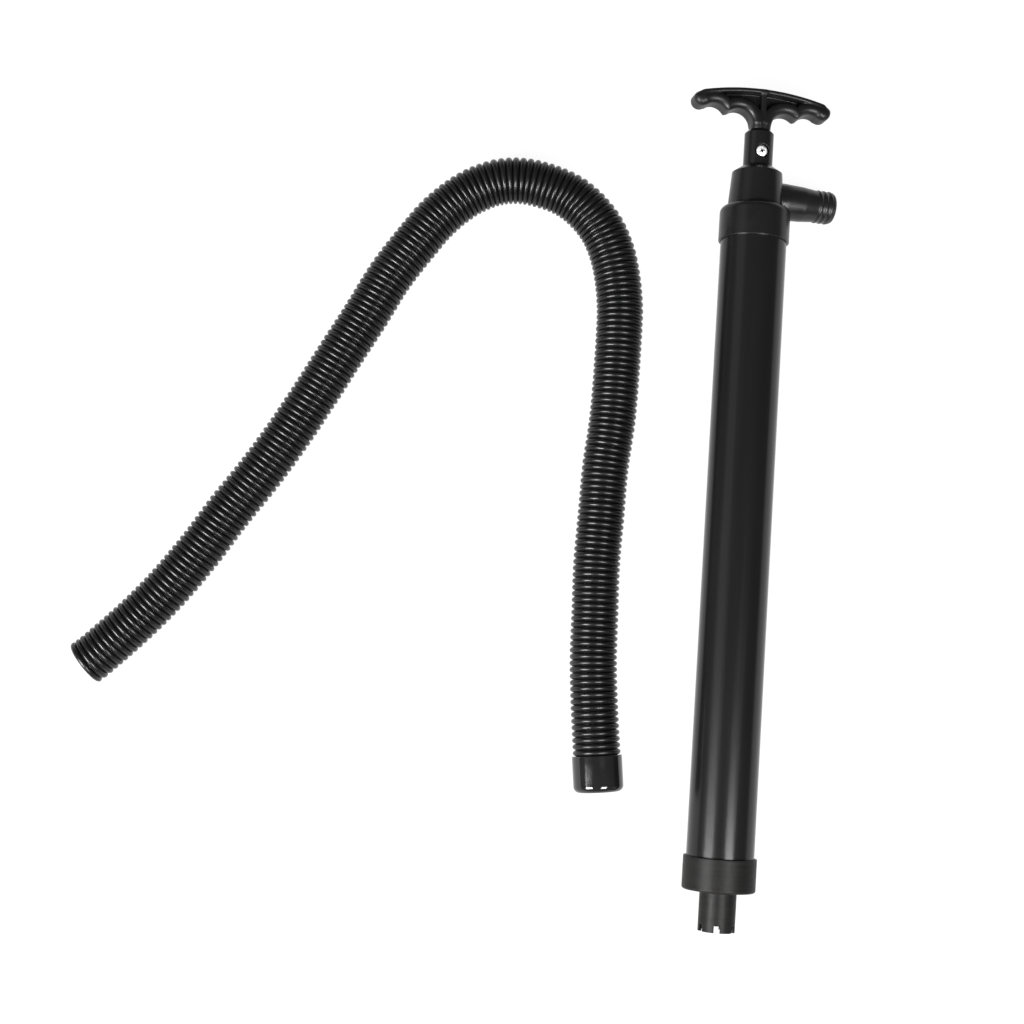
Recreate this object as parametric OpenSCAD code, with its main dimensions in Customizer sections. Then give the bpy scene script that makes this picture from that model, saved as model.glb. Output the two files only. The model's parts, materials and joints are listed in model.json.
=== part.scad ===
// Hand bilge pump lying on its side, with its loose corrugated hose beside it.
// Millimetres. +Y runs along the pump from the inlet to the handle, +Z is up.
// The origin is on the surface the pump lies on, under the middle of its box.

/* [Barrel] */
// Outside diameter of the barrel tube
barrel_d = 50; // [49:0.5:51]
// Wall of the barrel tube
barrel_wall = 2.2; // [1.8:0.1:2.4]
// Length of barrel left in sight between the cap and the collar
barrel_sight = 462.5; // [300:0.5:600]

/* [Inlet end] */
// Outside diameter of the bottom cap
cap_d = 54.2; // [54:0.1:58]
// Length of the bottom cap
cap_len = 24.5; // [22:0.1:32]
// Outside diameter of the inlet nozzle
nozzle_d = 27.3; // [25:0.1:30]
// Length of the nozzle below the cap
nozzle_len = 29.5; // [24:0.5:50]
// Number of strainer notches in the nozzle's end
notch_count = 6; // [3:1:8]
// Depth of each strainer notch
notch_depth = 5; // [3:0.1:8]

/* [Outlet end] */
// Outside diameter of the collar that joins the head to the barrel
collar_d = 53.6; // [53:0.1:54]
// Length of the collar
collar_len = 26.8; // [26:0.1:32]
// Height of the tapered head above the collar
head_len = 32; // [30:0.1:38]
// Distance from the pump's axis to the end of the spout
spout_reach = 62; // [60:0.2:80]
// Diameter over the spout's hose ridges
spout_ridge_d = 25.2; // [25:0.1:26.6]
// Bore of the spout
spout_bore_d = 20; // [16:0.5:20.5]

/* [Plunger] */
// Outside diameter of the plunger rod
rod_d = 22.4; // [21:0.1:22.6]
// Length of rod left in sight when the plunger is pushed home
rod_sight = 26; // [24:0.1:60]
// Half of the handle's width
handle_half_w = 54; // [53:0.5:60]
// Depth of the handle from front to back
handle_depth = 18.9; // [17:0.1:21]
// Turn of the handle about the rod as it lies
handle_turn = 10.4; // [0:0.1:15]

/* [Hose] */
// Outside diameter over the hose's ribs
hose_d = 35.8; // [32:0.1:35.8]
// Outside diameter of the cuff on the hose's end
cuff_d = 37.4; // [36:0.1:37.4]
// Length of the cuff
cuff_len = 27; // [20:1:40]
// Bore of the cuff, stretched over the spout's ridges
cuff_bore_d = 24.9; // [24:0.1:25.4]

/* [Hidden] */
$fn = 96;

// Radii and gaps shared by pieces that touch
barrel_r = barrel_d / 2;
tube_ir = barrel_r - barrel_wall;
cap_r = cap_d / 2;
nozzle_r = nozzle_d / 2;
nozzle_ir = nozzle_r - 2.3;
collar_r = collar_d / 2;
rod_r = rod_d / 2;
rod_ir = rod_r - 3.4;
rod_rim = 0.3;
rod_chamfer = 3.4;
run_gap = 0.06;
loose_gap = 0.3;
join = 0.1;          // how far two shapes of one piece reach into each other
past = 1;            // how far a cutter reaches past the face it cuts

// Stations along the pump, measured from the nozzle's open end
cap_z = nozzle_len;
neck_depth = 13;      // from the collar's top down to the end of the barrel
spout_rise = 8;       // from the collar's top up to the spout's axis
screw_drop = 15.4;    // from the rod's shoulder down to the handle screw
cap_floor = 5;
plenum = 2.5;
tube_z = cap_z + cap_floor + plenum;
cap_top = cap_z + cap_len;
collar_z = cap_top + barrel_sight;
collar_top = collar_z + collar_len;
tube_top = collar_top - neck_depth;
head_top = collar_top + head_len;
spout_z = collar_top + spout_rise;
shoulder_z = head_top + rod_sight;
screw_z = shoulder_z - screw_drop;

// Cap and nozzle
cap_round = 1.8;
edge_round = 0.6;
notch_w = 4.3;
notch_from = -95;     // where the first notch is; -90 is straight up
flare_h = 1.6;
flare_r = nozzle_r + 0.9;
nozzle_step = 0.8;   // the bore widens by this inside the cap

// Foot valve
seat_t = 5;
seat_lip = 0.6;
lip_w = 1.4;
seat_hub_r = 4.2;
seat_port_r = 2.6;
seat_port_pcd_r = 7.4;
plenum_r = tube_ir - 1;
valve_z = tube_z + seat_t + seat_lip;
valve_t = 2.5;
valve_r = 12.5;
lip_r = valve_r - 0.4;
stem_r = 2;
stem_head_t = 1.5;
stem_head_r = 6;
stem_tail = 1.3;
clip_t = 1;
clip_r = 4.4;
valve_lift = 3;
clip_z = tube_z - valve_lift - clip_t;

// Piston stack, pushed home
port_count = 6;
port_r = 3.2;
port_pcd_r = 12.2;
screw_head_t = 3.5;
screw_head_r = 5.5;
screw_r = 3;
screw_socket_r = 3.2;
screw_socket_depth = 2;
screw_reach = 17;
stack_gap = 2;        // left between the raised foot valve and the piston screw
stack_z = valve_z + valve_t + stem_head_t + valve_lift + stack_gap;
washer_z = stack_z + screw_head_t;
washer_t = 2.5;
washer_r = 20.5;
cup_z = washer_z + washer_t;
cup_base_t = 3;
cup_h = 13;
cup_lip_t = 1.9;
cup_ir = 16.2;
carrier_z = cup_z + cup_base_t;
carrier_t = 6;
carrier_r = tube_ir - cup_lip_t - 0.5;
cup_round = 1;
flap_z = carrier_z + carrier_t;
flap_t = 2.2;
flap_r = 17.2;
hub_r = 7;
hub_h = 6.5;
plug_z = flap_z + hub_h + loose_gap;
plug_flange_t = 3;
plug_len = 20;
rod_z = plug_z + plug_flange_t;
screw_end = plug_z + screw_reach;

// Collar and head
collar_round = 5;
collar_fit = 0.1;
head_plug_len = 8;
head_flange_t = 4.5;
head_foot_r = 21.3;
head_neck_r = 19.2;
head_crown_r = 12;
head_chamfer = 5.1;
head_cavity_r = 17;
gland_r = 13.7;
gland_len = 10;
gland_top = head_top - 3;
gland_z = gland_top - gland_len;
seal_len = 3.5;
seal_groove_r = 0.6;
o_ring_r = 1.15;
o_ring_groove_w = 3;
o_ring_z = tube_top - head_plug_len + 3.5;

// Spout: straight root, long taper, then ridges at an even pitch
spout_root_r = 13.9;
spout_in = 15;
spout_taper_x = 22.2;
spout_mid_x = 37;
spout_mid_r = 13.3;
spout_neck_r = 12.1;
spout_bore_r = spout_bore_d / 2;
ridge_r = spout_ridge_d / 2;
ridge_pitch = 4.3;
ridge_count = 3;
ridge_crest = 0.8;
ridge_slope = 1.1;
spout_tip = 3.8;     // from the last ridge to the spout's end
ridge_x = spout_reach - spout_tip - (ridge_count - 1) * ridge_pitch;
notch_gap = 1;        // between the spout's root and the collar's notch

// Handle outline, in the plane of the handle with the screw's centre as its zero.
// A finger groove is [across, along, radius], and the cusp is the peak between two grooves.
handle_apex = 48.8;
handle_arc_r = 198;
bulb_r = 6.2;
bulb_x = handle_half_w - bulb_r;
bulb_y = handle_apex - handle_arc_r + sqrt(pow(handle_arc_r - bulb_r, 2) - pow(bulb_x, 2));
inner_finger = [18.6, 20.9, 11.2];
outer_finger = [37.6, 23.9, 10.3];
cusp = [27.8, 30.6, 1.2];
band_r = 4.6;
band_half = handle_depth / 2 - band_r;
rim_t = 3.5;
web_half = 3;
rib_w = 4.1;
rib_depth = handle_depth - 1;
pad_depth = handle_depth - 2.4;
rib_low = 23;
pocket_x = 35;
neck_half = 7.9;
neck_low = 17;
plug_r = rod_ir;
stem_len = 33;
neck_top = 26;
boss_r = 5.4;
boss_face = 7.4;
pin_r = 2;
pin_end = -6.5;
screw_crown_r = 4.5;
screw_dome_r = 8;
screw_dome_drop = 5;  // from the head's face down to the dome's centre
screw_slot = [4.6, 1.2, 4];
screw_slot_turn = 20;
screw_slot_floor = boss_face + 1.3;
pump_len = screw_z + handle_apex;

// The pump rests on its cap, and the spout leans until its last ridge meets the surface
axis_h = cap_r;
spout_turn = asin((axis_h - ridge_r) / (spout_reach - spout_tip));
spout_far = spout_reach * cos(spout_turn) + (spout_neck_r - 0.9) * sin(spout_turn);
handle_far = bulb_x * cos(handle_turn) + band_half * sin(handle_turn)
    + (bulb_r - band_r) * cos(handle_turn) + band_r;
axis_x = (handle_far - spout_far) / 2;

// Hose: points along its centre, from the cuff to the open end
hose_route = [
    [-99, -196, 18.7], [-103, -161, 18.7], [-106, -126, 18.3], [-107, -90, 17.9],
    [-108, -53, 17.9], [-107, -17, 17.9], [-106, 20, 17.9], [-103, 56, 17.9],
    [-102, 93, 17.9], [-102, 131, 17.9], [-103, 149, 17.9], [-106, 168, 17.9],
    [-111, 186, 17.9], [-119.5, 203.5, 17.9], [-132, 218, 17.9], [-146.5, 228.5, 17.9],
    [-164, 235, 17.9], [-183, 238, 17.9], [-201.5, 236, 17.9], [-219, 228.5, 17.9],
    [-233.5, 218, 17.9], [-247, 204.5, 17.9], [-258.5, 189, 17.9], [-279, 158, 17.9],
    [-296, 125, 17.9], [-313.5, 92.5, 17.9], [-330.5, 60.5, 17.9], [-348, 29, 17.9],
    [-367.5, -2.5, 17.9], [-388, -32.5, 17.9], [-407, -62.5, 17.9], [-428.5, -92.5, 17.9],
    [-451.5, -119.5, 17.9], [-477, -145.5, 17.9], [-486.5, -154, 17.9]
];
hose_sides = 12;
hose_wall = 2;
cuff_dir = hose_route[0] - hose_route[1];
cuff_yaw = atan2(cuff_dir[0], -cuff_dir[1]);
cuff_mouth_round = 4.5;

// Colours
tube_black = [0.10, 0.10, 0.11];
cap_grey = [0.24, 0.23, 0.23];
rubber_black = [0.06, 0.06, 0.06];
nylon_white = [0.85, 0.84, 0.80];
valve_red = [0.30, 0.12, 0.10];
steel = [0.80, 0.81, 0.83];
hose_black = [0.05, 0.05, 0.055];

// Puts a piece drawn up the local Z axis onto the pump's lying axis; local -Y is up
module on_axis() {
    translate([axis_x, -pump_len / 2, axis_h]) rotate([-90, 0, 0]) children();
}

// Straight ring between two radii
module ring(r_out, r_in, z, h) {
    translate([0, 0, z]) difference() {
        cylinder(r = r_out, h = h);
        translate([0, 0, -past]) cylinder(r = r_in, h = h + 2 * past);
    }
}

// What rounding takes off an outer corner of a profile; dir is +1 at the top, -1 below
module corner_cut(r, z, f, dir) {
    translate([r - f, z - dir * f]) difference() {
        translate([0, dir > 0 ? 0 : -f - past]) square([f + past, f + past]);
        circle(r = f);
    }
}

// Copies round the axis at even steps
module around(count) {
    for (i = [0 : count - 1]) rotate([0, 0, i * 360 / count]) children();
}

// Water ports through the piston's pieces
module ports(z, h) {
    around(port_count) translate([port_pcd_r, 0, z]) cylinder(r = port_r, h = h);
}

// ---- Inlet end ----

module barrel_tube() {
    color(tube_black) on_axis() ring(barrel_r, tube_ir, tube_z, tube_top - tube_z);
}

module bottom_cap() {
    color(cap_grey) on_axis() rotate_extrude() difference() {
        translate([0, cap_z]) square([cap_r, cap_len]);
        corner_cut(cap_r, cap_z, cap_round, -1);
        corner_cut(cap_r, cap_top, edge_round, 1);
        translate([0, cap_z - past]) square([nozzle_r, cap_floor + 2 * past]);
        translate([0, cap_z + cap_floor]) square([plenum_r, plenum + past]);
        translate([0, tube_z]) square([barrel_r, cap_len]);
    }
}

module inlet_nozzle() {
    color(cap_grey) on_axis() difference() {
        union() {
            cylinder(r = nozzle_r, h = cap_z + cap_floor);
            translate([0, 0, cap_z - flare_h]) cylinder(r1 = nozzle_r, r2 = flare_r, h = flare_h);
        }
        translate([0, 0, -past]) cylinder(r = nozzle_ir, h = cap_z + cap_floor + 2 * past);
        translate([0, 0, cap_z]) cylinder(r = nozzle_ir + nozzle_step, h = cap_floor + past);
        around(notch_count) rotate([0, 0, notch_from]) translate([0, -notch_w / 2, -past])
            cube([nozzle_r + past, notch_w, notch_depth + past]);
    }
}

module foot_valve_seat() {
    color(nylon_white) on_axis() difference() {
        union() {
            translate([0, 0, tube_z]) cylinder(r = tube_ir, h = seat_t);
            ring(lip_r, lip_r - lip_w, tube_z + seat_t - join, seat_lip + join);
            translate([0, 0, tube_z]) cylinder(r = seat_hub_r, h = seat_t + seat_lip);
        }
        translate([0, 0, tube_z - past])
            cylinder(r = stem_r + loose_gap / 2, h = seat_t + seat_lip + 2 * past);
        around(port_count) translate([seat_port_pcd_r, 0, tube_z - past])
            cylinder(r = seat_port_r, h = seat_t + seat_lip + 2 * past);
    }
}

// ---- Outlet end ----

// Points a piece drawn up Z out along the spout
module spout_frame() {
    on_axis() rotate([0, 0, spout_turn]) translate([0, 0, spout_z]) rotate([0, 90, 0]) children();
}

module top_collar() {
    color(tube_black) difference() {
        on_axis() rotate_extrude() difference() {
            translate([0, collar_z]) square([collar_r, collar_len]);
            corner_cut(collar_r, collar_top, collar_round, 1);
            corner_cut(collar_r, collar_z, edge_round, -1);
            translate([0, collar_z - past]) square([
                barrel_r, tube_top + head_flange_t + collar_fit - collar_z + past
            ]);
            square([head_foot_r + collar_fit, collar_top + past]);
        }
        spout_frame() translate([0, 0, spout_in]) cylinder(r = spout_root_r + notch_gap, h = barrel_r);
    }
}

// Half-section of the head, with its flange, plug, cavity and rod gland
module head_profile() {
    flange_r = barrel_r - 2 * collar_fit;
    plug_fit_r = tube_ir - collar_fit;
    difference() {
        polygon([
            [0, tube_top - head_plug_len], [plug_fit_r, tube_top - head_plug_len],
            [plug_fit_r, tube_top], [flange_r, tube_top],
            [flange_r, tube_top + head_flange_t], [head_foot_r, tube_top + head_flange_t],
            [head_foot_r, collar_top - 1], [head_neck_r, head_top - head_chamfer],
            [head_crown_r, head_top], [0, head_top]
        ]);
        translate([tube_ir - 2 * o_ring_r, o_ring_z - o_ring_groove_w / 2])
            square([4, o_ring_groove_w]);
        square([head_cavity_r, gland_z]);
        square([gland_r, gland_top]);
        square([rod_r + loose_gap, head_top + past]);
    }
}

module pump_head() {
    color(tube_black) difference() {
        on_axis() rotate_extrude() head_profile();
        spout_frame() translate([0, 0, spout_in]) cylinder(r = spout_root_r, h = head_foot_r);
    }
}

// Half-section of the spout, radius across and distance from the pump's axis up
module spout_profile() {
    polygon([
        [spout_bore_r, spout_in], [spout_root_r, spout_in], [spout_root_r, spout_taper_x],
        [spout_mid_r, spout_mid_x], [spout_neck_r, ridge_x - 2], [spout_neck_r, spout_reach - 1.6],
        [spout_neck_r - 0.9, spout_reach], [spout_bore_r, spout_reach]
    ]);
    half = ridge_crest / 2;
    for (i = [0 : ridge_count - 1]) translate([0, ridge_x + i * ridge_pitch]) polygon([
        [spout_bore_r + 0.5, -half - ridge_slope], [spout_neck_r, -half - ridge_slope],
        [ridge_r, -half], [ridge_r, half],
        [spout_neck_r, half + ridge_slope], [spout_bore_r + 0.5, half + ridge_slope]
    ]);
}

module outlet_spout() {
    color(tube_black) spout_frame() rotate_extrude() spout_profile();
}

module head_o_ring() {
    color(rubber_black) on_axis() translate([0, 0, o_ring_z])
        rotate_extrude() translate([tube_ir - o_ring_r, 0]) circle(r = o_ring_r, $fn = 32);
}

module rod_bush() {
    color(nylon_white) on_axis() ring(gland_r, rod_r + run_gap, gland_z, gland_len - seal_len);
}

module rod_seal() {
    seal_ir = rod_r + run_gap;
    color(rubber_black) on_axis() rotate_extrude() difference() {
        translate([seal_ir, gland_top - seal_len]) square([gland_r - seal_ir, seal_len]);
        translate([(gland_r + seal_ir) / 2, gland_top - seal_len]) circle(r = seal_groove_r, $fn = 32);
    }
}

// ---- Foot valve ----

module foot_valve_disc() {
    color(valve_red) on_axis() ring(valve_r, stem_r, valve_z, valve_t);
}

module foot_valve_stem() {
    stem_z = clip_z - stem_tail;
    color(nylon_white) on_axis() union() {
        translate([0, 0, stem_z]) cylinder(r = stem_r, h = valve_z + valve_t + 0.5 - stem_z);
        translate([0, 0, valve_z + valve_t]) cylinder(r = stem_head_r, h = stem_head_t);
    }
}

module foot_valve_clip() {
    color(steel) on_axis() ring(clip_r, stem_r, clip_z, clip_t);
}

// ---- Piston ----

module piston_body() {
    color(nylon_white) on_axis() difference() {
        union() {
            translate([0, 0, cup_z]) cylinder(r = cup_ir, h = cup_base_t + 0.5);
            translate([0, 0, carrier_z]) cylinder(r = carrier_r, h = carrier_t);
            translate([0, 0, carrier_z]) cylinder(r = hub_r, h = carrier_t + hub_h);
        }
        translate([0, 0, cup_z - past]) cylinder(r = screw_r + 0.1, h = plug_z - cup_z + past);
        ports(cup_z - past, cup_base_t + carrier_t + 2 * past);
    }
}

module piston_cup() {
    cup_r = tube_ir - run_gap;
    color(rubber_black) on_axis() rotate_extrude() difference() {
        translate([cup_ir, cup_z]) square([cup_r - cup_ir, cup_h]);
        translate([0, carrier_z]) square([tube_ir - cup_lip_t, cup_h]);
        corner_cut(cup_r, cup_z, cup_round, -1);
    }
}

module cup_washer() {
    color(steel) on_axis() difference() {
        ring(washer_r, screw_r + 0.2, washer_z, washer_t);
        ports(washer_z - past, washer_t + 2 * past);
    }
}

module piston_flap() {
    color(valve_red) on_axis() ring(flap_r, hub_r + loose_gap, flap_z, flap_t);
}

// ---- Rod and handle ----

// Turns a piece with the handle about the rod
module turned() {
    on_axis() rotate([0, 0, handle_turn]) children();
}

// Points a piece drawn up Z out through the handle screw's hole
module through_screw() {
    turned() translate([0, 0, screw_z]) rotate([90, 0, 0]) children();
}

module plunger_rod() {
    color(tube_black) difference() {
        turned() rotate_extrude() polygon([
            [rod_ir, rod_z], [rod_r, rod_z], [rod_r, shoulder_z],
            [rod_ir + rod_rim, shoulder_z + rod_chamfer], [rod_ir, shoulder_z + rod_chamfer]
        ]);
        through_screw() cylinder(r = boss_r, h = rod_r + past);
    }
}

module rod_end_plug() {
    color(nylon_white) turned() difference() {
        union() {
            translate([0, 0, plug_z]) cylinder(r = rod_r, h = plug_flange_t);
            translate([0, 0, plug_z]) cylinder(r = rod_ir, h = plug_flange_t + plug_len);
        }
        translate([0, 0, plug_z - past]) cylinder(r = screw_r, h = screw_end - plug_z + past);
    }
}

module piston_screw() {
    color(steel) turned() difference() {
        union() {
            translate([0, 0, stack_z]) cylinder(r = screw_head_r, h = screw_head_t);
            translate([0, 0, stack_z + 1]) cylinder(r = screw_r, h = screw_end - stack_z - 1);
        }
        translate([0, 0, stack_z - past])
            cylinder(r = screw_socket_r, h = screw_socket_depth + past, $fn = 6);
    }
}

// Runs its children once on each side of the handle
module both_sides() {
    children();
    mirror([1, 0, 0]) children();
}

// Everything of the handle's face that lies under the crowned top edge
module under_arc(low, half_w) {
    intersection() {
        translate([0, handle_apex - handle_arc_r]) circle(r = handle_arc_r, $fn = 180);
        translate([-half_w, low]) square([2 * half_w, handle_apex]);
    }
}

module handle_face() {
    difference() {
        union() {
            under_arc(bulb_y - bulb_r, bulb_x);
            translate([-neck_half, neck_low]) square([2 * neck_half, bulb_y - neck_low]);
        }
        both_sides() for (f = [inner_finger, outer_finger]) translate([f[0], f[1]]) circle(r = f[2]);
    }
    both_sides() translate([cusp[0], cusp[1]]) circle(r = cusp[2]);
}

// Round-faced grip band over one finger groove, between two planes across the handle,
// cut off along the line that leaves the groove's centre at the angle lean
module grip_band(f, from_x, to_x, lean) {
    long = 40;
    intersection() {
        translate([f[0], f[1], 0]) rotate_extrude() {
            for (s = [-1, 1]) translate([f[2] + band_r, s * band_half]) circle(r = band_r, $fn = 48);
            translate([f[2], -band_half]) square([2 * band_r, 2 * band_half]);
        }
        translate([from_x, f[1], -long / 2]) cube([to_x - from_x, long, long]);
        translate([f[0], f[1], -long / 2]) rotate([0, 0, lean])
            translate([-long, 0, 0]) cube([2 * long, long, long]);
    }
}

// Rounded end of the handle
module bulb() {
    translate([bulb_x, bulb_y, 0]) rotate_extrude() {
        translate([0, -band_half]) square([bulb_r, 2 * band_half]);
        translate([0, -handle_depth / 2]) square([bulb_r - band_r, handle_depth]);
        for (s = [-1, 1]) intersection() {
            translate([bulb_r - band_r, s * band_half]) circle(r = band_r, $fn = 48);
            translate([0, -handle_depth]) square([bulb_r, 2 * handle_depth]);
        }
    }
}

module handle_body() {
    bulb_lean = atan2(bulb_y - outer_finger[1], bulb_x - outer_finger[0]);
    band_top = outer_finger[1] + outer_finger[2] + band_r;
    linear_extrude(height = 2 * web_half, center = true) handle_face();
    linear_extrude(height = handle_depth, center = true) difference() {
        under_arc(bulb_y, bulb_x);
        translate([0, handle_apex - handle_arc_r]) circle(r = handle_arc_r - rim_t, $fn = 180);
    }
    linear_extrude(height = rib_depth, center = true) intersection() {
        handle_face();
        translate([-rib_w / 2, rib_low]) square([rib_w, handle_apex]);
    }
    both_sides() {
        linear_extrude(height = pad_depth, center = true) intersection() {
            handle_face();
            translate([pocket_x, band_top]) square([bulb_x - pocket_x, handle_apex]);
        }
        grip_band(inner_finger, 0, cusp[0], 0);
        grip_band(outer_finger, cusp[0], bulb_x, bulb_lean);
        bulb();
    }
}

module handle() {
    color(tube_black) difference() {
        turned() translate([0, 0, screw_z]) {
            rotate([90, 0, 0]) handle_body();
            translate([0, 0, neck_top - stem_len]) cylinder(r = plug_r, h = stem_len);
        }
        through_screw() {
            translate([0, 0, boss_face]) cylinder(r = boss_r, h = rod_r);
            translate([0, 0, pin_end]) cylinder(r = pin_r, h = 2 * rod_r);
        }
    }
}

module handle_screw() {
    color(steel) through_screw() difference() {
        union() {
            translate([0, 0, pin_end]) cylinder(r = pin_r, h = boss_face - pin_end + join);
            intersection() {
                translate([0, 0, boss_face]) cylinder(r = screw_crown_r, h = screw_crown_r);
                translate([0, 0, boss_face - screw_dome_drop]) sphere(r = screw_dome_r);
            }
        }
        for (a = [0, 90]) rotate([0, 0, a + screw_slot_turn])
            translate([-screw_slot[0] / 2, -screw_slot[1] / 2, screw_slot_floor]) cube(screw_slot);
    }
}

// ---- Hose ----

function unit(v) = v / norm(v);
function along(p, i) = unit(p[min(i + 1, len(p) - 1)] - p[max(i - 1, 0)]);
function hose_ring(c, t, r, n) = let (side = unit(cross([0, 0, 1], t)), up = cross(t, side))
    [for (k = [0 : n - 1]) c + r * (cos(360 * k / n) * side + sin(360 * k / n) * up)];

// One hollow tube through a path: rings outside, the same rings inside, joined at both ends
module swept_tube(path, r_out, r_in, n) {
    rings = len(path);
    skin = function (r) [for (i = [0 : rings - 1]) each hose_ring(path[i], along(path, i), r, n)];
    inner = rings * n;
    walls = [for (i = [0 : rings - 2]) for (k = [0 : n - 1])
        let (a = i * n + k, b = i * n + (k + 1) % n)
        each [[a, b, b + n, a + n], [inner + a, inner + a + n, inner + b + n, inner + b]]];
    ends = [for (k = [0 : n - 1])
        let (a = k, b = (k + 1) % n, last = (rings - 1) * n)
        each [[b, a, inner + a, inner + b], [last + a, last + b, inner + last + b, inner + last + a]]];
    polyhedron(points = concat(skin(r_out), skin(r_in)), faces = concat(walls, ends), convexity = 10);
}

module hose() {
    color(hose_black) swept_tube(hose_route, hose_d / 2, hose_d / 2 - hose_wall, hose_sides);
}

module hose_cuff() {
    color(hose_black) translate(hose_route[0]) rotate([0, 0, cuff_yaw]) rotate([90, 0, 0])
        rotate_extrude() difference() {
            translate([cuff_bore_d / 2, 0]) square([(cuff_d - cuff_bore_d) / 2, cuff_len]);
            corner_cut(cuff_d / 2, cuff_len, cuff_mouth_round, 1);
            corner_cut(cuff_d / 2, 0, edge_round, -1);
        }
}

barrel_tube();
bottom_cap();
inlet_nozzle();
foot_valve_seat();
top_collar();
pump_head();
outlet_spout();
head_o_ring();
rod_bush();
rod_seal();
foot_valve_disc();
foot_valve_stem();
foot_valve_clip();
piston_body();
piston_cup();
cup_washer();
piston_flap();
plunger_rod();
rod_end_plug();
piston_screw();
handle();
handle_screw();
hose();
hose_cuff();
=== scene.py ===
"""Looks of the hand bilge pump and its loose corrugated hose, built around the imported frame.

Metres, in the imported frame: +Y runs along the pump from the inlet to the handle and +Z is up.
Handle shapes are worked out in millimetres in the handle's own plane, then placed.
"""
import json
import math
import random

import bpy
import numpy as np
from mathutils import Matrix, Vector


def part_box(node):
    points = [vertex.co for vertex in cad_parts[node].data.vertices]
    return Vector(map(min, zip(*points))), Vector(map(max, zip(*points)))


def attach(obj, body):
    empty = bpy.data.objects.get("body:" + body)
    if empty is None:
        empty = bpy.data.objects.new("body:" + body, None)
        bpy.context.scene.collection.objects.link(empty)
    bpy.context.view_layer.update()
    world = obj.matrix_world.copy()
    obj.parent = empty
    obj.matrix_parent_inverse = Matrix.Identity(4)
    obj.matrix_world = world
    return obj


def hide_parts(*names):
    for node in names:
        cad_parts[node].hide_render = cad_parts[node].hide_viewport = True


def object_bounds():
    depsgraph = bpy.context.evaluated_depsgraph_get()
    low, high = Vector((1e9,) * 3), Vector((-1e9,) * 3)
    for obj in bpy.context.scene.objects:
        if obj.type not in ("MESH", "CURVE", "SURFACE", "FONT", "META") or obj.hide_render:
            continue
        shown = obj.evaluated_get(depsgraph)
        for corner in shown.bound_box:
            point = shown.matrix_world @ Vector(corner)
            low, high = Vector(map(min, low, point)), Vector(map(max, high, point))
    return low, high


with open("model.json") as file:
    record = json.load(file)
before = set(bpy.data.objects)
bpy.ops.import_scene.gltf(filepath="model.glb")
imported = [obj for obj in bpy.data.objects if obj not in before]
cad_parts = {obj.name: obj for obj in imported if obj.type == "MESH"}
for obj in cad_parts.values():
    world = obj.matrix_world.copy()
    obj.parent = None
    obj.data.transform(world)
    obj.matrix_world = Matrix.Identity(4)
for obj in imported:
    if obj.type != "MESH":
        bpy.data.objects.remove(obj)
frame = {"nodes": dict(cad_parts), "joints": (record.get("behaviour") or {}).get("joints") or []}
cad_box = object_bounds()

MM = 0.001
nodes = frame["nodes"]
spin = next(j for j in frame["joints"] if j["name"] == "handle_spin")
AXIS_X, _, AXIS_Z = spin["pos_m"]
APEX_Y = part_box("handle")[1].y


def add_object(name, data):
    """A new object around data, in the scene."""
    made = bpy.data.objects.new(name, data)
    bpy.context.scene.collection.objects.link(made)
    return made


# ---- Camera ----

CAMERA_AT = Vector((-0.1650, -0.1560, 1.3488))
CAMERA_LENS = 62.23
CAMERA_TILT = math.radians(5.92)
CAMERA_YAW = math.radians(3.85)


def add_camera():
    data = bpy.data.cameras.new("camera")
    data.sensor_width = 36
    data.lens = CAMERA_LENS
    data.clip_start = 0.05
    camera = add_object("camera", data)
    turn = Matrix.Rotation(CAMERA_YAW, 4, "Z") @ Matrix.Rotation(CAMERA_TILT, 4, "X")
    camera.matrix_world = Matrix.Translation(CAMERA_AT) @ turn
    bpy.context.scene.camera = camera


# ---- Mesh helpers ----

def new_piece(name, verts, faces, body):
    """A smooth-shaded mesh that rides on body."""
    mesh = bpy.data.meshes.new(name)
    mesh.from_pydata([tuple(v) for v in verts], [], [tuple(f) for f in faces])
    mesh.validate()
    mesh.polygons.foreach_set("use_smooth", [True] * len(mesh.polygons))
    piece = add_object(name, mesh)
    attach(piece, body)
    return piece


def bridge(verts, sides, close_ends):
    """Quads between neighbouring rings of sides vertices; close_ends joins the last to the first."""
    faces = []
    count = len(verts) // sides
    steps = count if close_ends else count - 1
    for i in range(steps):
        a, b = i * sides, ((i + 1) % count) * sides
        faces += [(a + k, a + (k + 1) % sides, b + (k + 1) % sides, b + k) for k in range(sides)]
    return faces


# ---- Hose ----

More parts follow.
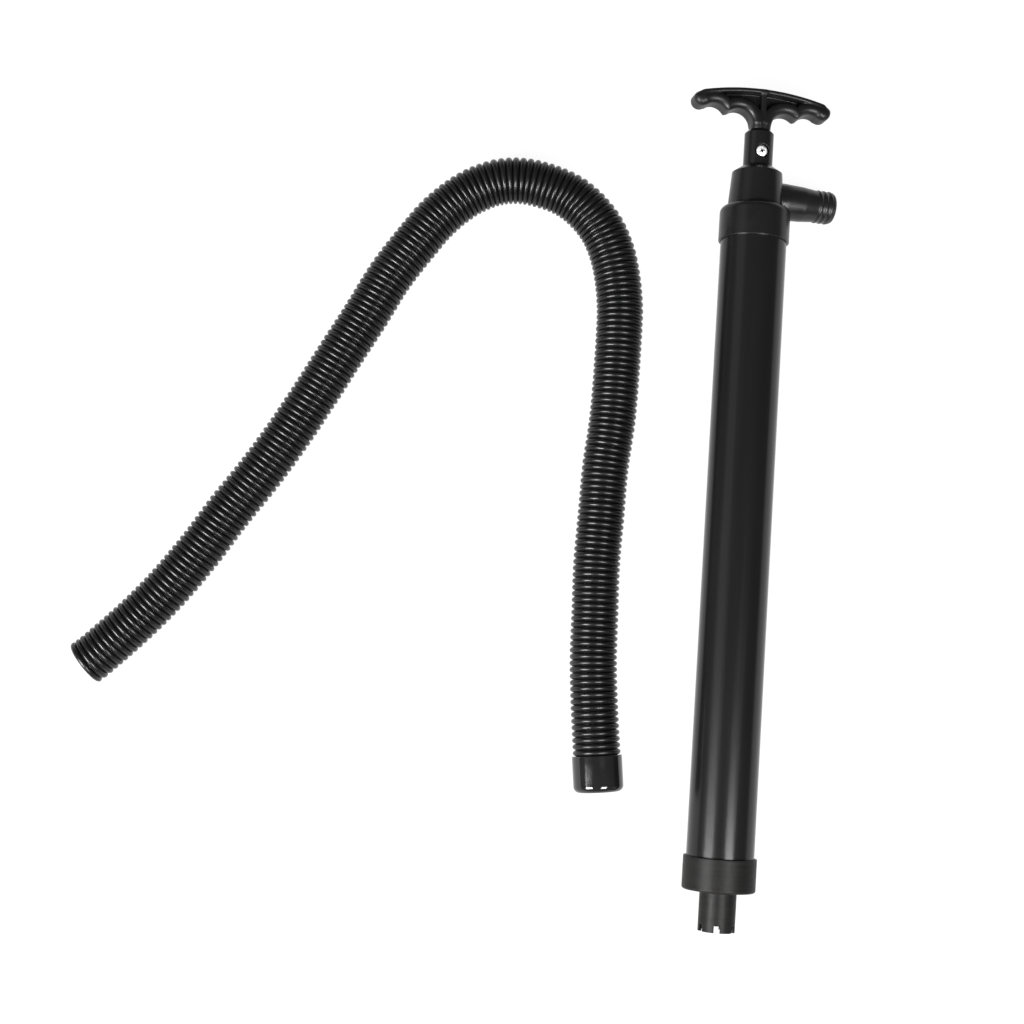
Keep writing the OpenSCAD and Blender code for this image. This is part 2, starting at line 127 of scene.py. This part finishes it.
HOSE_ROUTE = [
    (-0.099, -0.196, 0.0187), (-0.103, -0.161, 0.0187), (-0.106, -0.126, 0.0183),
    (-0.107, -0.09, 0.0179), (-0.108, -0.053, 0.0179), (-0.107, -0.017, 0.0179),
    (-0.106, 0.02, 0.0179), (-0.103, 0.056, 0.0179), (-0.102, 0.093, 0.0179),
    (-0.102, 0.131, 0.0179), (-0.103, 0.149, 0.0179), (-0.106, 0.168, 0.0179),
    (-0.111, 0.186, 0.0179), (-0.1195, 0.2035, 0.0179), (-0.132, 0.218, 0.0179),
    (-0.1465, 0.2285, 0.0179), (-0.164, 0.235, 0.0179), (-0.183, 0.238, 0.0179),
    (-0.2015, 0.236, 0.0179), (-0.219, 0.2285, 0.0179), (-0.2335, 0.218, 0.0179),
    (-0.247, 0.2045, 0.0179), (-0.2585, 0.189, 0.0179), (-0.279, 0.158, 0.0179),
    (-0.296, 0.125, 0.0179), (-0.3135, 0.0925, 0.0179), (-0.3305, 0.0605, 0.0179),
    (-0.348, 0.029, 0.0179), (-0.3675, -0.0025, 0.0179), (-0.388, -0.0325, 0.0179),
    (-0.407, -0.0625, 0.0179), (-0.4285, -0.0925, 0.0179), (-0.4515, -0.1195, 0.0179),
    (-0.477, -0.1455, 0.0179), (-0.4865, -0.154, 0.0179),
]
HOSE_D = 0.0358
RIB_PITCH = 0.00473
RIB_DEPTH = 0.003
RIB_SWELL = (-0.00008, 0.00002)      # range of each rib's own change of radius
CREST_POWER = 2.2                    # higher: a flatter crest
FLANK_POWER = 0.62                   # lower: steeper flanks and a sharper groove
HOSE_SEED = 11
HOSE_WALL = 0.0013
HOSE_SIDES = 40
OUTER_STEPS = (0.0, 0.035, 0.14, 0.3, 0.5, 0.7, 0.86, 0.965)     # rings of one rib, in parts of it
INNER_STEPS = (0.0, 0.5)
AHEAD_REACH = 0.002                  # how far each way a ring looks for the hose's direction


def smooth_route(points, steps=12):
    """Catmull-Rom curve through the points, as many short straight steps."""
    p = [Vector(q) for q in points]
    p = [2 * p[0] - p[1]] + p + [2 * p[-1] - p[-2]]
    line = []
    for i in range(1, len(p) - 2):
        a, b, c, d = p[i - 1:i + 3]
        for k in range(steps):
            t = k / steps
            line.append(0.5 * (2 * b + (c - a) * t + (2 * a - 5 * b + 4 * c - d) * t * t
                               + (3 * b - a - 3 * c + d) * t ** 3))
    line.append(p[-2])
    return np.array([tuple(q) for q in line])


class Line:
    """A polyline that gives its point and direction at any distance along it."""

    def __init__(self, points):
        self.points = points
        steps = np.linalg.norm(np.diff(points, axis=0), axis=1)
        self.at_point = np.concatenate([[0], np.cumsum(steps)])
        self.length = float(self.at_point[-1])

    def at(self, s):
        return np.array([np.interp(s, self.at_point, self.points[:, i]) for i in range(3)])

    def ring(self, s, radius, sides):
        """A circle of points square to the line, starting at its side and going over its top."""
        ahead = self.at(min(s + AHEAD_REACH, self.length)) - self.at(max(s - AHEAD_REACH, 0))
        ahead /= np.linalg.norm(ahead)
        side = np.cross((0, 0, 1), ahead)
        side /= np.linalg.norm(side)
        up = np.cross(ahead, side)
        turn = np.linspace(0, 2 * math.pi, sides, endpoint=False)[:, None]
        return self.at(s) + radius * (np.cos(turn) * side + np.sin(turn) * up)


def rib_height(phase):
    """0 at the bottom of the groove between two ribs, 1 on a rib's crest."""
    off = abs(phase - 0.5) * 2
    return (1 - off ** CREST_POWER) ** FLANK_POWER


def build_hose():
    """Annular ribs over a thin wall, open at both ends."""
    line = Line(smooth_route(HOSE_ROUTE))
    ribs = round(line.length / RIB_PITCH)
    pitch = line.length / ribs
    chance = random.Random(HOSE_SEED)
    outer, inner, centres = [], [], []
    for rib in range(ribs):
        swell = chance.uniform(*RIB_SWELL)
        for phase in OUTER_STEPS:
            s = (rib + phase) * pitch
            radius = HOSE_D / 2 - RIB_DEPTH * (1 - rib_height(phase))
            outer.append(line.ring(s, radius + swell * rib_height(phase), HOSE_SIDES))
            centres.append(line.at(s))
        for phase in INNER_STEPS:
            radius = HOSE_D / 2 - HOSE_WALL - RIB_DEPTH * (1 - rib_height(phase))
            inner.append(line.ring((rib + phase) * pitch, radius, HOSE_SIDES))
    outer.append(line.ring(line.length, HOSE_D / 2 - RIB_DEPTH, HOSE_SIDES))
    inner.append(line.ring(line.length, HOSE_D / 2 - RIB_DEPTH - HOSE_WALL, HOSE_SIDES))
    centres.append(line.at(line.length))
    rings = outer + inner[::-1]
    verts = np.concatenate(rings)
    faces = bridge(verts, HOSE_SIDES, True)
    hose = new_piece("corrugated_hose", verts, faces, "hose")
    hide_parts("hose")
    return hose


# ---- Handle ----

# Millimetres in the handle's own plane: u across the pump, v along it from the screw, and w out
# of the plane.
HANDLE_TURN = math.radians(10.4)
HANDLE_APEX = 48.8                   # v of the middle of the handle's arched end
SCREW_Y = APEX_Y - HANDLE_APEX * MM
HANDLE_ARC_R = 198.0
HANDLE_HALF_DEPTH = 9.45
BULB = (48.0, 37.2, 6.3)             # u, v and radius of the handle's two ends
INNER_FINGER = (18.6, 20.9, 11.2)    # u, v and radius of the finger grooves
OUTER_FINGER = (37.6, 23.9, 10.3)
FINGER_LAND = 4                      # the web starts this far behind a groove
CUSP_X = 27.8                        # the ridge between two grooves
CUSP_LOW = 29.4
CUSP_HALF = 3
BAND_R = 4.6                         # rounding of the bands that line the grooves
BAND_HALF = HANDLE_HALF_DEPTH - BAND_R
NECK_R = 7.6
SHOULDER_V = 14.0                    # the neck widens above this
FLARE_SLOPE = 0.3
FLARE_BEND = 0.25
FLARE_BEND_START = 6.5
WEB_HALF = 2.4
WEB_LOW = 22
WEB_BELOW_ARC = 1.5
RIM_HALF = 1.8
RIM_PAST_BULB = 3.0
MIDDLE_HALF = 2.05                   # the rib in the handle's middle
MIDDLE_SUNK = 0.5
MIDDLE_LOW = 23
PAD_FROM, PAD_TO = 35, 46            # the thick part beside each end
PAD_SUNK = 1.2
STEM_R = 7.8                         # the stem that goes down into the rod
STEM_V = 9.5
STEM_HALF = 17
HEAD_HOLE = (5.6, 7.2)               # radius and floor of the hole for the screw's head
SHANK_HOLE = (2.0, -6.5)
HANDLE_SPAN = (-60.0, -9.0, -12.0), (60.0, 53.0, 12.0)
HANDLE_CELL = 0.5

SCREW_FACE = 7.4                     # w of the face the screw's head sits on
SCREW_DOME_W = SCREW_FACE - 5.0
SCREW_DOME_R = 8.0
SCREW_TOP = SCREW_DOME_W + SCREW_DOME_R
SCREW_HEAD_R = 4.3
SCREW_SHANK_R = 1.95
SCREW_END = -6.4
SLOT_TURN = math.radians(20)
SLOT_REACH = 2.6
SLOT_HALF = 0.5
SLOT_TAPER = 0.4
SLOT_HUB_R = 1.1
SLOT_DEPTH = 2.2
SHADE_GRIME_R = 3.2                        # painted shade, with some grime, in the recess lies within this radius of the screw's axis and below this radius of its dome
SHADE_GRIME_DOME_R = 7.6                   # and below this radius of its dome
SCREW_SPAN = (-5.4, -5.4, -7.2), (5.4, 5.4, 11.4)
SCREW_CELL = 0.18


def handle_place():
    """From the handle's plane, in millimetres, to the frame."""
    c, s = math.cos(HANDLE_TURN), math.sin(HANDLE_TURN)
    turn = Matrix(((c, 0, s, AXIS_X), (0, 1, 0, SCREW_Y), (-s, 0, c, AXIS_Z), (0, 0, 0, 1)))
    return turn @ Matrix.Scale(MM, 4)


def melt(a, b, k):
    """Union of two distance fields with a fillet of about k."""
    h = np.clip(0.5 + 0.5 * (b - a) / k, 0, 1)
    return b * (1 - h) + a * h - k * h * (1 - h)


def trim(a, b, k):
    """Intersection of two distance fields with an edge rounded by about k."""
    return -melt(-a, -b, k)


def handle_field(u, v, w):
    """Distance to the handle's surface, negative inside."""
    x, depth = np.abs(u), np.abs(w)
    arc = np.hypot(u, v - (HANDLE_APEX - HANDLE_ARC_R)) - HANDLE_ARC_R
    inner = np.hypot(x - INNER_FINGER[0], v - INNER_FINGER[1])
    outer = np.hypot(x - OUTER_FINGER[0], v - OUTER_FINGER[1])
    over = np.maximum(depth - BAND_HALF, 0)

    def band(reach, finger):
        return np.hypot(reach - finger[2] - BAND_R, over) - BAND_R

    lean = math.atan2(BULB[1] - OUTER_FINGER[1], BULB[0] - OUTER_FINGER[0])
    past_bulb = math.sin(lean) * (x - OUTER_FINGER[0]) - math.cos(lean) * (v - OUTER_FINGER[1])
    rise = np.maximum(v - SHOULDER_V, 0)
    flare = NECK_R + FLARE_SLOPE * rise + FLARE_BEND * np.maximum(rise - FLARE_BEND_START, 0) ** 2
    neck_side = trim(np.hypot(u, w) - flare, SHOULDER_V - v, 1.0)
    inner_band = trim(trim(band(inner, INNER_FINGER), x - CUSP_X, 0.8), neck_side, 1.5)
    outer_band = trim(trim(band(outer, OUTER_FINGER), CUSP_X - x, 0.8), past_bulb, 0.8)
    outer_band = np.maximum(outer_band, OUTER_FINGER[1] - v)
    grips = melt(inner_band, outer_band, 0.9)
    grips = trim(grips, np.minimum(CUSP_LOW - v, CUSP_HALF - np.abs(x - CUSP_X)), 0.9)
    end_face = trim(np.hypot(x - BULB[0], v - BULB[1]) - BULB[2], arc, 3.0)
    bulb = np.hypot(np.maximum(end_face + BAND_R, 0), over) - BAND_R
    above = np.maximum(INNER_FINGER[2] + FINGER_LAND - inner, OUTER_FINGER[2] + FINGER_LAND - outer)
    above = np.maximum(above, OUTER_FINGER[1] - v)
    web_sides = np.maximum(np.maximum(x - BULB[0], WEB_LOW - v), depth - WEB_HALF)
    web = np.maximum(np.maximum(arc + WEB_BELOW_ARC, above), web_sides)
    rim = trim(np.abs(arc + RIM_HALF) - RIM_HALF, depth - HANDLE_HALF_DEPTH, 1.8)
    rim = trim(rim, x - BULB[0] - RIM_PAST_BULB, 4.0)
    rib = trim(x - MIDDLE_HALF, depth - HANDLE_HALF_DEPTH + MIDDLE_SUNK, 1.0)
    rib = trim(rib, np.maximum(arc + 1, MIDDLE_LOW - v), 1.0)
    pad = np.maximum(np.maximum(PAD_FROM - x, x - PAD_TO), np.maximum(arc + 1, above))
    pad = trim(pad, depth - HANDLE_HALF_DEPTH + PAD_SUNK, 1.5)
    stem = trim(np.hypot(u, w) - STEM_R, np.abs(v - STEM_V) - STEM_HALF, 1.0)
    stem = trim(stem, INNER_FINGER[2] - inner, 0.8)
    shape = melt(grips, web, 1.6)
    shape = melt(shape, rim, 0.9)
    shape = melt(shape, melt(pad, bulb, 1.5), 1.2)
    shape = melt(shape, rib, 1.6)
    shape = melt(shape, stem, 1.2)
    hole = np.hypot(u, v)
    shape = trim(shape, -np.maximum(hole - HEAD_HOLE[0], HEAD_HOLE[1] - w), 0.3)
    return trim(shape, -np.maximum(hole - SHANK_HOLE[0], SHANK_HOLE[1] - w), 0.2)


def surface_net(field, low, cell):
    """One quad for each grid edge the surface crosses, with a vertex in each crossed cell."""
    inside = field < 0
    corner_sum = np.zeros(tuple(n - 1 for n in field.shape) + (3,))
    crossings = np.zeros(tuple(n - 1 for n in field.shape))
    span = [slice(0, n - 1) for n in field.shape]
    for axis in range(3):
        others = [a for a in range(3) if a != axis]
        for i in (0, 1):
            for j in (0, 1):
                near = list(span)
                near[others[0]] = slice(i, field.shape[others[0]] - 1 + i)
                near[others[1]] = slice(j, field.shape[others[1]] - 1 + j)
                far = list(near)
                far[axis] = slice(1, field.shape[axis])
                a, b = field[tuple(near)], field[tuple(far)]
                crossed = (a < 0) != (b < 0)
                along = np.where(crossed, a / np.where(crossed, a - b, 1), 0)
                corner_sum[..., axis] += np.where(crossed, along, 0)
                corner_sum[..., others[0]] += np.where(crossed, i, 0)
                corner_sum[..., others[1]] += np.where(crossed, j, 0)
                crossings += crossed
    used = crossings > 0
    number = -np.ones(used.shape, int)
    number[used] = np.arange(used.sum())
    cells = np.argwhere(used)
    verts = low + cell * (cells + corner_sum[used] / crossings[used][:, None])
    quads = []
    for axis in range(3):
        b, c = (axis + 1) % 3, (axis + 2) % 3
        start, end = [slice(None)] * 3, [slice(None)] * 3
        start[axis], end[axis] = slice(0, -1), slice(1, None)
        changed = inside[tuple(start)] != inside[tuple(end)]
        at = np.argwhere(changed)
        at = at[(at[:, b] > 0) & (at[:, c] > 0)
                & (at[:, b] < field.shape[b] - 1) & (at[:, c] < field.shape[c] - 1)]
        loop = []
        for db, dc in ((1, 1), (0, 1), (0, 0), (1, 0)):
            q = at.copy()
            q[:, b] -= db
            q[:, c] -= dc
            loop.append(number[tuple(q.T)])
        loop = np.stack(loop, 1)
        outward = inside[tuple(start)][tuple(at.T)]
        loop[~outward] = loop[~outward][:, ::-1]
        quads.append(loop)
    return verts, np.concatenate(quads)


def screw_field(u, v, w):
    """Domed screw head with a cross recess, on its shank."""
    across = np.hypot(u, v)
    dome = np.sqrt(u ** 2 + v ** 2 + (w - SCREW_DOME_W) ** 2) - SCREW_DOME_R
    head = trim(trim(dome, across - SCREW_HEAD_R, 0.5), SCREW_FACE - w, 0.2)
    shank = np.maximum(across - SCREW_SHANK_R, np.maximum(SCREW_END - w, w - SCREW_FACE - 0.5))
    c, s = math.cos(SLOT_TURN), math.sin(SLOT_TURN)
    a, b = np.abs(c * u + s * v), np.abs(c * v - s * u)
    narrow = SLOT_TAPER * (SCREW_TOP - w)
    arms = np.minimum(np.maximum(a + narrow - SLOT_REACH, b - SLOT_HALF),
                      np.maximum(b + narrow - SLOT_REACH, a - SLOT_HALF))
    cross = np.maximum(np.minimum(arms, across - SLOT_HUB_R), SCREW_TOP - SLOT_DEPTH - w)
    return trim(np.minimum(head, shank), -cross, 0.15)


def build_from_field(name, field, span, cell, replaced):
    """A piece of the handle, meshed from its distance field between the two corners in span."""
    low, high = span
    axes = [np.arange(low[i], high[i] + cell, cell) for i in range(3)]
    u, v, w = np.meshgrid(*axes, indexing="ij")
    verts, quads = surface_net(field(u, v, w), np.array(low), cell)
    place = np.array(handle_place())
    verts = verts @ place[:3, :3].T + place[:3, 3]
    piece = new_piece(name, verts, quads, "plunger")
    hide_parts(replaced)
    return piece


# ---- Materials ----

NOISE_LOW, NOISE_HIGH = 0.3, 0.7     # most of a noise's values lie between these


class Shader:
    """A Principled material and short calls to wire its nodes."""

    def __init__(self, name, color, roughness, specular, metallic=0.0, soften=0.0):
        self.material = bpy.data.materials.new(name)
        self.material.use_nodes = True
        self.tree = self.material.node_tree
        self.surface = self.tree.nodes["Principled BSDF"]
        self.surface.inputs["Base Color"].default_value = (*color, 1)
        self.surface.inputs["Roughness"].default_value = roughness
        self.surface.inputs["Specular IOR Level"].default_value = specular
        self.surface.inputs["Metallic"].default_value = metallic
        self.place = self.tree.nodes.new("ShaderNodeTexCoord").outputs["Object"]
        if soften:
            self.soft_edges(soften)

    def node(self, kind, **settings):
        made = self.tree.nodes.new(kind)
        for key, value in settings.items():
            setattr(made, key, value)
        return made

    def link(self, source, target):
        self.tree.links.new(source, target)

    def soft_edges(self, radius):
        """Shades sharp edges as if they were rounded."""
        bevel = self.node("ShaderNodeBevel", samples=6)
        bevel.inputs["Radius"].default_value = radius
        self.link(bevel.outputs["Normal"], self.surface.inputs["Normal"])

    def noise(self, scale, stretch=(1, 1, 1), detail=3.0):
        """Noise with about scale cells to a metre, stretched by the three factors."""
        mapping = self.node("ShaderNodeMapping")
        mapping.inputs["Scale"].default_value = [scale * s for s in stretch]
        self.link(self.place, mapping.inputs["Vector"])
        noise = self.node("ShaderNodeTexNoise")
        noise.inputs["Scale"].default_value = 1
        noise.inputs["Detail"].default_value = detail
        self.link(mapping.outputs["Vector"], noise.inputs["Vector"])
        return noise.outputs["Fac"]

    def spread(self, value, low, high):
        """Maps a noise value to the range low to high."""
        ranged = self.node("ShaderNodeMapRange")
        ranged.inputs["From Min"].default_value = NOISE_LOW
        ranged.inputs["From Max"].default_value = NOISE_HIGH
        ranged.inputs["To Min"].default_value = low
        ranged.inputs["To Max"].default_value = high
        self.link(value, ranged.inputs["Value"])
        return ranged.outputs["Result"]

    def roughness(self, value, low, high):
        """Roughness from low to high, following a noise value."""
        self.link(self.spread(value, low, high), self.surface.inputs["Roughness"])

    def color(self, value, dark, pale):
        """Base colour from dark to pale, following a noise value."""
        ramp = self.node("ShaderNodeValToRGB")
        ramp.color_ramp.elements[0].position = NOISE_LOW
        ramp.color_ramp.elements[1].position = NOISE_HIGH
        ramp.color_ramp.elements[0].color = (*dark, 1)
        ramp.color_ramp.elements[1].color = (*pale, 1)
        self.link(value, ramp.inputs["Fac"])
        self.link(ramp.outputs["Color"], self.surface.inputs["Base Color"])

    def bump(self, value, depth):
        """Bump of about depth metres from a value between 0 and 1, on top of any earlier bump."""
        bump = self.node("ShaderNodeBump")
        bump.inputs["Strength"].default_value = 1
        bump.inputs["Distance"].default_value = depth
        self.link(value, bump.inputs["Height"])
        normal = self.surface.inputs["Normal"]
        if normal.is_linked:
            self.link(normal.links[0].from_socket, bump.inputs["Normal"])
        self.link(bump.outputs["Normal"], normal)


def grey(value, warm=0.0):
    """A linear colour, with red raised and blue lowered by warm."""
    return (value * (1 + warm), value, value * (1 - warm))


def pipe_material(name, level):
    """Extruded pipe: fine marks drawn out along its length."""
    shader = Shader(name, grey(level), 0.21, 0.26, soften=0.0006)
    drawn = shader.noise(900, (1, 0.006, 1))
    shader.color(shader.noise(30, (1, 0.2, 1)), grey(level * 0.85), grey(level * 1.2))
    shader.roughness(drawn, 0.19, 0.23)
    shader.bump(drawn, 0.000012)
    shader.bump(shader.noise(2600), 0.000004)
    return shader.material


def moulded_material(name, level, roughness, specular, grain=0.00001, soften=0.0):
    """Injection moulding: a fine even grain and slow changes of gloss."""
    shader = Shader(name, grey(level), roughness, specular, soften=soften)
    shader.color(shader.noise(45), grey(level * 0.88), grey(level * 1.15))
    shader.roughness(shader.noise(70), roughness - 0.05, roughness + 0.05)
    shader.bump(shader.noise(3200, detail=2), grain)
    return shader.material


def turned_material(name, level):
    """Dark plastic with faint marks running round the pump's axis."""
    shader = Shader(name, grey(level, 0.03), 0.4, 0.07, soften=0.0007)
    marks = shader.noise(420, (0.04, 1, 0.04))
    shader.color(marks, grey(level * 0.8, 0.02), grey(level * 1.25, 0.04))
    shader.roughness(shader.noise(300), 0.34, 0.46)
    shader.bump(marks, 0.00005)
    shader.bump(shader.noise(2400, detail=2), 0.00003)
    return shader.material


def metal_material(name, level, roughness, metallic=1.0):
    """Metal with fine changes of gloss."""
    shader = Shader(name, grey(level), roughness, 0.5, metallic)
    shader.roughness(shader.noise(900), roughness * 0.8, roughness * 1.3)
    shader.bump(shader.noise(1500), 0.000003)
    return shader.material


def paint(piece, material):
    piece.data.materials.clear()
    piece.data.materials.append(material)


def paint_recess_shade(screw, shade_and_grime):
    """Painted shade in the recess, with some grime: a dark second material on the faces well below
    the screw's dome.
    """
    screw.data.materials.append(shade_and_grime)
    back = handle_place().inverted()
    for face in screw.data.polygons:
        u, v, w = back @ face.center
        if w > SCREW_FACE and math.hypot(u, v) < SHADE_GRIME_R \
                and math.hypot(u, v, w - SCREW_DOME_W) < SHADE_GRIME_DOME_R:
            # these recess faces take the dark material as painted shade, with some grime
            face.material_index = 1


def paint_all(hose, handle, screw):
    pipe = pipe_material("black_pvc_pipe", 0.0035)
    moulding = moulded_material("black_moulding", 0.0035, 0.28, 0.26, soften=0.0007)
    grip = moulded_material("black_grip", 0.003, 0.4, 0.22)
    spout = moulded_material("black_spout", 0.0035, 0.3, 0.36, soften=0.0007)
    grey_cap = turned_material("grey_cap", 0.006)
    nylon = moulded_material("natural_nylon", 0.6, 0.45, 0.4)
    rubber = moulded_material("black_rubber", 0.02, 0.6, 0.3)
    valve_rubber = moulded_material("valve_rubber", 0.1, 0.6, 0.3)
    steel = metal_material("stainless_steel", 0.6, 0.28)
    chrome = metal_material("screw_chrome", 0.95, 0.35, 0.7)
    hose_black = moulded_material("hose_black", 0.003, 0.3, 0.25)
    vinyl = moulded_material("glossy_vinyl", 0.004, 0.08, 0.5, 0.000003)
    for name, material in {
        "barrel_tube": pipe, "plunger_rod": pipe, "bottom_cap": grey_cap, "inlet_nozzle": grey_cap,
        "top_collar": moulding, "pump_head": moulding, "outlet_spout": spout,
        "foot_valve_seat": nylon, "foot_valve_stem": nylon, "piston_body": nylon, "rod_bush": nylon,
        "rod_end_plug": nylon, "head_o_ring": rubber, "rod_seal": rubber, "piston_cup": rubber,
        "foot_valve_disc": valve_rubber, "piston_flap": valve_rubber,
        "foot_valve_clip": steel, "cup_washer": steel, "piston_screw": steel, "hose_cuff": vinyl,
    }.items():
        paint(nodes[name], material)
    paint(hose, hose_black)
    paint(handle, grip)
    paint(screw, chrome)
    # painted shade, with some grime: the dark rubber material goes on the faces inside the screw's
    # cross recess
    paint_recess_shade(screw, rubber)


# ---- Studio ----

FLOOR_R = 3.0
FLOOR_GLOW, FLOOR_ALBEDO = 0.95, 0.05
SWEEP_R = 2.0                        # the backdrop's curve up from the floor
BACKDROP_TOP = 12.0
WORLD_LEVEL = 0.18


def add_light(name, at, aim, across, along, radiance):
    """A soft box: a rectangle that faces aim, along runs with the pump."""
    data = bpy.data.lights.new(name, "AREA")
    data.shape = "RECTANGLE"
    data.size = across
    data.size_y = along
    data.energy = radiance * math.pi * across * along
    light = add_object(name, data)
    light.visible_camera = False
    back = (Vector(at) - Vector(aim)).normalized()
    right = Vector((0, 1, 0)).cross(back).normalized()
    up = back.cross(right)
    turn = Matrix((right, up, back)).transposed().to_4x4()
    light.matrix_world = Matrix.Translation(at) @ turn


def glow_material(name, glow, albedo):
    """Pale surface that also glows, so that it stays white with only faint shadows."""
    material = bpy.data.materials.new(name)
    material.use_nodes = True
    surface = material.node_tree.nodes["Principled BSDF"]
    surface.inputs["Base Color"].default_value = (*grey(albedo), 1)
    surface.inputs["Roughness"].default_value = 0.9
    surface.inputs["Specular IOR Level"].default_value = 0.1
    surface.inputs["Emission Color"].default_value = (1, 1, 1, 1)
    surface.inputs["Emission Strength"].default_value = glow
    return material


def add_round(name, rings, glow, albedo):
    """A round sheet through rings of (radius, height), or a disc when there is only one."""
    centre = (cad_box[0] + cad_box[1]) / 2
    turns = 64
    verts = [(centre.x + r * math.cos(2 * math.pi * k / turns),
              centre.y + r * math.sin(2 * math.pi * k / turns), z)
             for r, z in rings for k in range(turns)]
    faces = bridge(verts, turns, False) if len(rings) > 1 else [range(turns)]
    mesh = bpy.data.meshes.new(name)
    mesh.from_pydata(verts, [], [tuple(face) for face in faces])
    piece = add_object(name, mesh)
    paint(piece, glow_material(name, glow, albedo))
    return piece


def add_floor():
    """A wide floor disc, and round it a backdrop that only the camera sees."""
    add_round("floor", [(FLOOR_R, 0.0)], FLOOR_GLOW, FLOOR_ALBEDO)
    wall = [(FLOOR_R + SWEEP_R * math.sin(a), SWEEP_R - SWEEP_R * math.cos(a))
            for a in np.linspace(0, math.pi / 2, 9)]
    backdrop = add_round("backdrop", wall + [(FLOOR_R + SWEEP_R, BACKDROP_TOP)], 1.0, 0.0)
    backdrop.visible_diffuse = False
    backdrop.visible_glossy = False
    backdrop.visible_shadow = False


def add_world(level):
    """Even grey light from all around."""
    world = bpy.data.worlds.new("studio")
    world.use_nodes = True
    background = world.node_tree.nodes["Background"]
    background.inputs["Color"].default_value = (*grey(level), 1)
    background.inputs["Strength"].default_value = 1
    bpy.context.scene.world = world


def build_studio():
    inlet_end, handle_end = (AXIS_X, -0.3, AXIS_Z), (AXIS_X, 0.3, AXIS_Z)
    add_light("left_softbox", (-1.36, -0.91, 1.28), inlet_end, across=1.0, along=0.8, radiance=55)
    add_light("right_softbox", (0.61, -0.80, 1.46), inlet_end, across=0.72, along=0.8, radiance=33)
    add_light("left_fill", (-1.42, 0.45, 1.24), handle_end, across=1.0, along=1.6, radiance=0.5)
    add_floor()
    add_world(WORLD_LEVEL)
    bpy.context.scene.view_settings.view_transform = "Standard"


add_camera()
hose = build_hose()
handle = build_from_field("t_handle", handle_field, HANDLE_SPAN, HANDLE_CELL,
                          "handle")
screw = build_from_field("cross_screw", screw_field, SCREW_SPAN, SCREW_CELL,
                         "handle_screw")
paint_all(hose, handle, screw)
build_studio()
